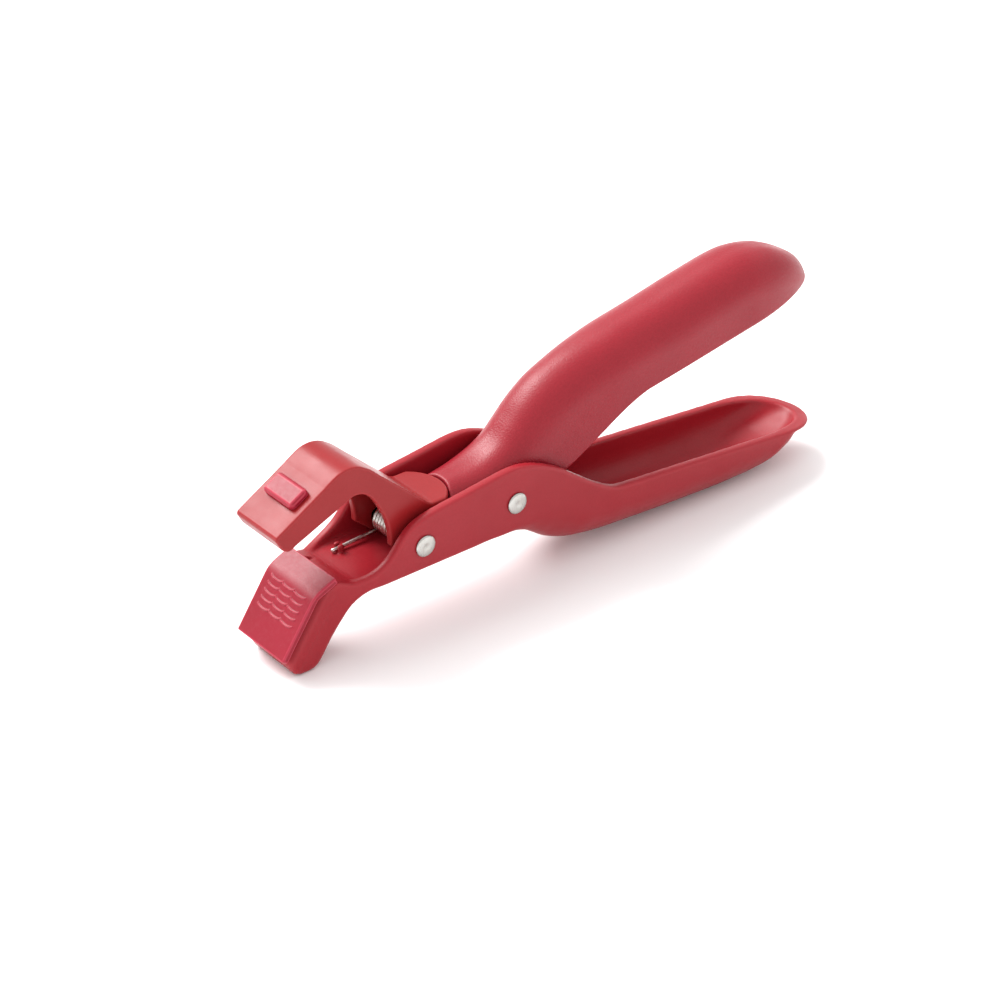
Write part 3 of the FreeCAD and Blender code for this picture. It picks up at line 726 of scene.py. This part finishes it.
def silicone(name, deep, light):
    """Soft rubber: even colour with a faint bloom, a painted highlight along edges and ridges,
    fine tooth and a little light inside.
    """
    material, nodes, links, shader, where = new_material(name)
    drift = spread(nodes, links, noise(nodes, links, where, 60.0, 3.0), 0.0, 1.0)
    colour = blend_colour(nodes, links, drift, deep, light)
    dust = noise(nodes, links, where, 900.0, 3.0, 0.7)
    bloom = spread(nodes, links, dust, 0.0, 0.02, 0.5, 0.75)
    colour = blend_colour(nodes, links, bloom, colour, (0.85, 0.45, 0.5))
    # Painted highlight along the pad's edges and wave ridges.
    colour = painted_edge_highlight(nodes, links, colour, (0.42, 0.025, 0.055), 0.45)
    links.new(colour, shader.inputs["Base Color"])
    links.new(spread(nodes, links, dust, 0.36, 0.44), shader.inputs["Roughness"])
    tooth = noise(nodes, links, where, 2600.0, 2.0, 0.6)
    links.new(bumps(nodes, links, tooth, 1.0, 0.00002), shader.inputs["Normal"])
    shader.inputs["Specular IOR Level"].default_value = 0.3
    shader.inputs["Subsurface Weight"].default_value = 0.02
    shader.inputs["Subsurface Radius"].default_value = (0.0008, 0.0002, 0.0002)
    shader.inputs["Subsurface Scale"].default_value = 1.0
    return material


def steel(name, colour, rough, stretch):
    """Stainless steel with fine lines, rings or drawing marks, and a little tarnish."""
    material, nodes, links, shader, where = new_material(name)
    mapping = nodes.new("ShaderNodeMapping")
    mapping.inputs["Scale"].default_value = stretch
    links.new(where, mapping.inputs["Vector"])
    lines = noise(nodes, links, mapping.outputs["Vector"], 1.0, 3.0, 0.7)
    tarnish = spread(nodes, links, noise(nodes, links, where, 420.0, 4.0, 0.6), 0.0, 0.5)
    dull = tuple(c * f for c, f in zip(colour, (0.82, 0.79, 0.74)))
    links.new(blend_colour(nodes, links, tarnish, colour, dull), shader.inputs["Base Color"])
    links.new(spread(nodes, links, lines, rough - 0.06, rough + 0.1), shader.inputs["Roughness"])
    links.new(bumps(nodes, links, lines, 0.5, 0.00001), shader.inputs["Normal"])
    shader.inputs["Metallic"].default_value = 1.0
    return material


BODY_RED = plastic(
    "satin_body_red", deep=(0.28, 0.009, 0.016), light=(0.31, 0.012, 0.020),
    rough=0.38, grain=2000.0, grain_height=0.00002, specular=0.26,
)
LEVER_RED = plastic(
    "pebbled_lever_red", deep=(0.25, 0.007, 0.016), light=(0.28, 0.010, 0.020),
    rough=0.36, grain=2000.0, grain_height=0.00009, specular=0.29,
)
ARM_RED = plastic(
    "smooth_arm_red", deep=(0.25, 0.010, 0.012), light=(0.28, 0.013, 0.015),
    rough=0.34, grain=2800.0, grain_height=0.000006, specular=0.22,
)
PAD_RED = silicone("crimson_silicone", (0.23, 0.002, 0.013), (0.26, 0.003, 0.017))
RIVET_STEEL = steel("satin_rivet_steel", (0.47, 0.46, 0.44), 0.24, (900.0, 60.0, 60.0))
WIRE_STEEL = steel("drawn_spring_wire", (0.70, 0.68, 0.65), 0.3, (300.0, 900.0, 300.0))


# ---------------------------------------------------------------- the object

moulded("body_shell", body_field(), (1.0, -15.2, -1.0), (204.5, 15.2, 42.0), 0.56,
        "body", ["base_body"], "body_plastic", BODY_RED)
moulded("squeeze_lever", lever_field(), (56.5, -13.2, 22.0), (203.0, 13.2, 75.5), 0.45,
        "handle", ["upper_handle"], "handle_plastic", LEVER_RED)
moulded("upper_jaw_arm", arm_field(), (1.5, -10.3, 22.0), (65.0, 10.3, 59.0), 0.3,
        "jaw", ["jaw_arm"], "arm_plastic", ARM_RED)
moulded("lower_pad", lower_pad_field(), (0.2, -11.9, 5.0), (21.6, 11.9, 28.0), 0.17,
        "body", ["lower_jaw_pad"], "silicone", PAD_RED)
moulded("upper_pad", upper_pad_field(), (5.2, -7.8, 37.5), (26.5, 7.8, 57.0), 0.22,
        "jaw", ["upper_jaw_pad"], "silicone", PAD_RED)

for end, pin in (("front", FRONT_PIN), ("rear", REAR_PIN)):
    barrel = head_rings(-1)[::-1] + [(-14.4, 2.2), (14.2, 2.2), (14.2, 1.5), (-8.0, 1.5)]
    turned_piece(f"{end}_pin_barrel", pin, barrel, "body", f"{end}_rivet_barrel", RIVET_STEEL)
    stud = [(-6.2, 1.35), (14.4, 1.35)] + head_rings(1)
    turned_piece(f"{end}_pin_stud", pin, stud, "body", f"{end}_rivet_stud", RIVET_STEEL)

coil_path, upper_path = spring_paths()
piece("spring_coil", *tube(coil_path, 0.55), "body", ["torsion_spring"],
      "spring_steel", WIRE_STEEL)
piece("spring_upper_leg", *tube(upper_path, 0.54), "jaw", ["torsion_spring"],
      "spring_steel", WIRE_STEEL)


# ---------------------------------------------------------------- studio

def studio_floor():
    """A plain pale table that runs far past the view."""
    material, nodes, links, shader, where = new_material("pale_table")
    tone = spread(nodes, links, noise(nodes, links, where, 3.0, 2.0), 0.0, 1.0)
    colour = blend_colour(nodes, links, tone, (0.90, 0.90, 0.90), (0.93, 0.93, 0.93))
    links.new(colour, shader.inputs["Base Color"])
    shader.inputs["Roughness"].default_value = 0.7
    mesh = bpy.data.meshes.new("table")
    size = 6.0
    corners = [(-size, -size, 0), (size, -size, 0), (size, size, 0), (-size, size, 0)]
    mesh.from_pydata(corners, [], [(0, 1, 2, 3)])
    mesh.materials.append(material)
    table = bpy.data.objects.new("table", mesh)
    bpy.context.scene.collection.objects.link(table)


def softbox(name, direction, spread_deg, power):
    """A broad far light, so that the table is lit evenly."""
    light = bpy.data.lights.new(name, "SUN")
    light.angle = math.radians(spread_deg)
    light.energy = power
    lamp = bpy.data.objects.new(name, light)
    lamp.rotation_euler = Vector(direction).to_track_quat("Z", "Y").to_euler()
    bpy.context.scene.collection.objects.link(lamp)


def camera():
    """The eye is in front, to the near left and above, with a long lens and a slight roll."""
    back = Vector((-0.5255, -0.6769, 0.5154)).normalized()
    right = Vector((0.7847, -0.6198, -0.0140))
    right = (right - back * right.dot(back)).normalized()
    up = back.cross(right)
    data = bpy.data.cameras.new("camera")
    data.lens = 100.8
    data.sensor_width = 36.0
    data.clip_start = 0.01
    eye = bpy.data.objects.new("camera", data)
    turn = Matrix((right, up, back)).transposed().to_4x4()
    eye.matrix_world = Matrix.Translation((-0.4390, -0.5439, 0.4357)) @ turn
    bpy.context.scene.collection.objects.link(eye)
    bpy.context.scene.camera = eye


studio_floor()
softbox("overhead_softbox", (-0.25, 0.5, 0.83), 56.0, 1.0)
softbox("rear_softbox", (-0.18, 0.68, 0.71), 32.0, 3.3)
world = bpy.data.worlds.new("studio")
world.use_nodes = True
world.node_tree.nodes["Background"].inputs["Color"].default_value = (1, 1, 1, 1)
world.node_tree.nodes["Background"].inputs["Strength"].default_value = 1.15
bpy.context.scene.world = world
bpy.context.scene.view_settings.view_transform = "Standard"
camera()
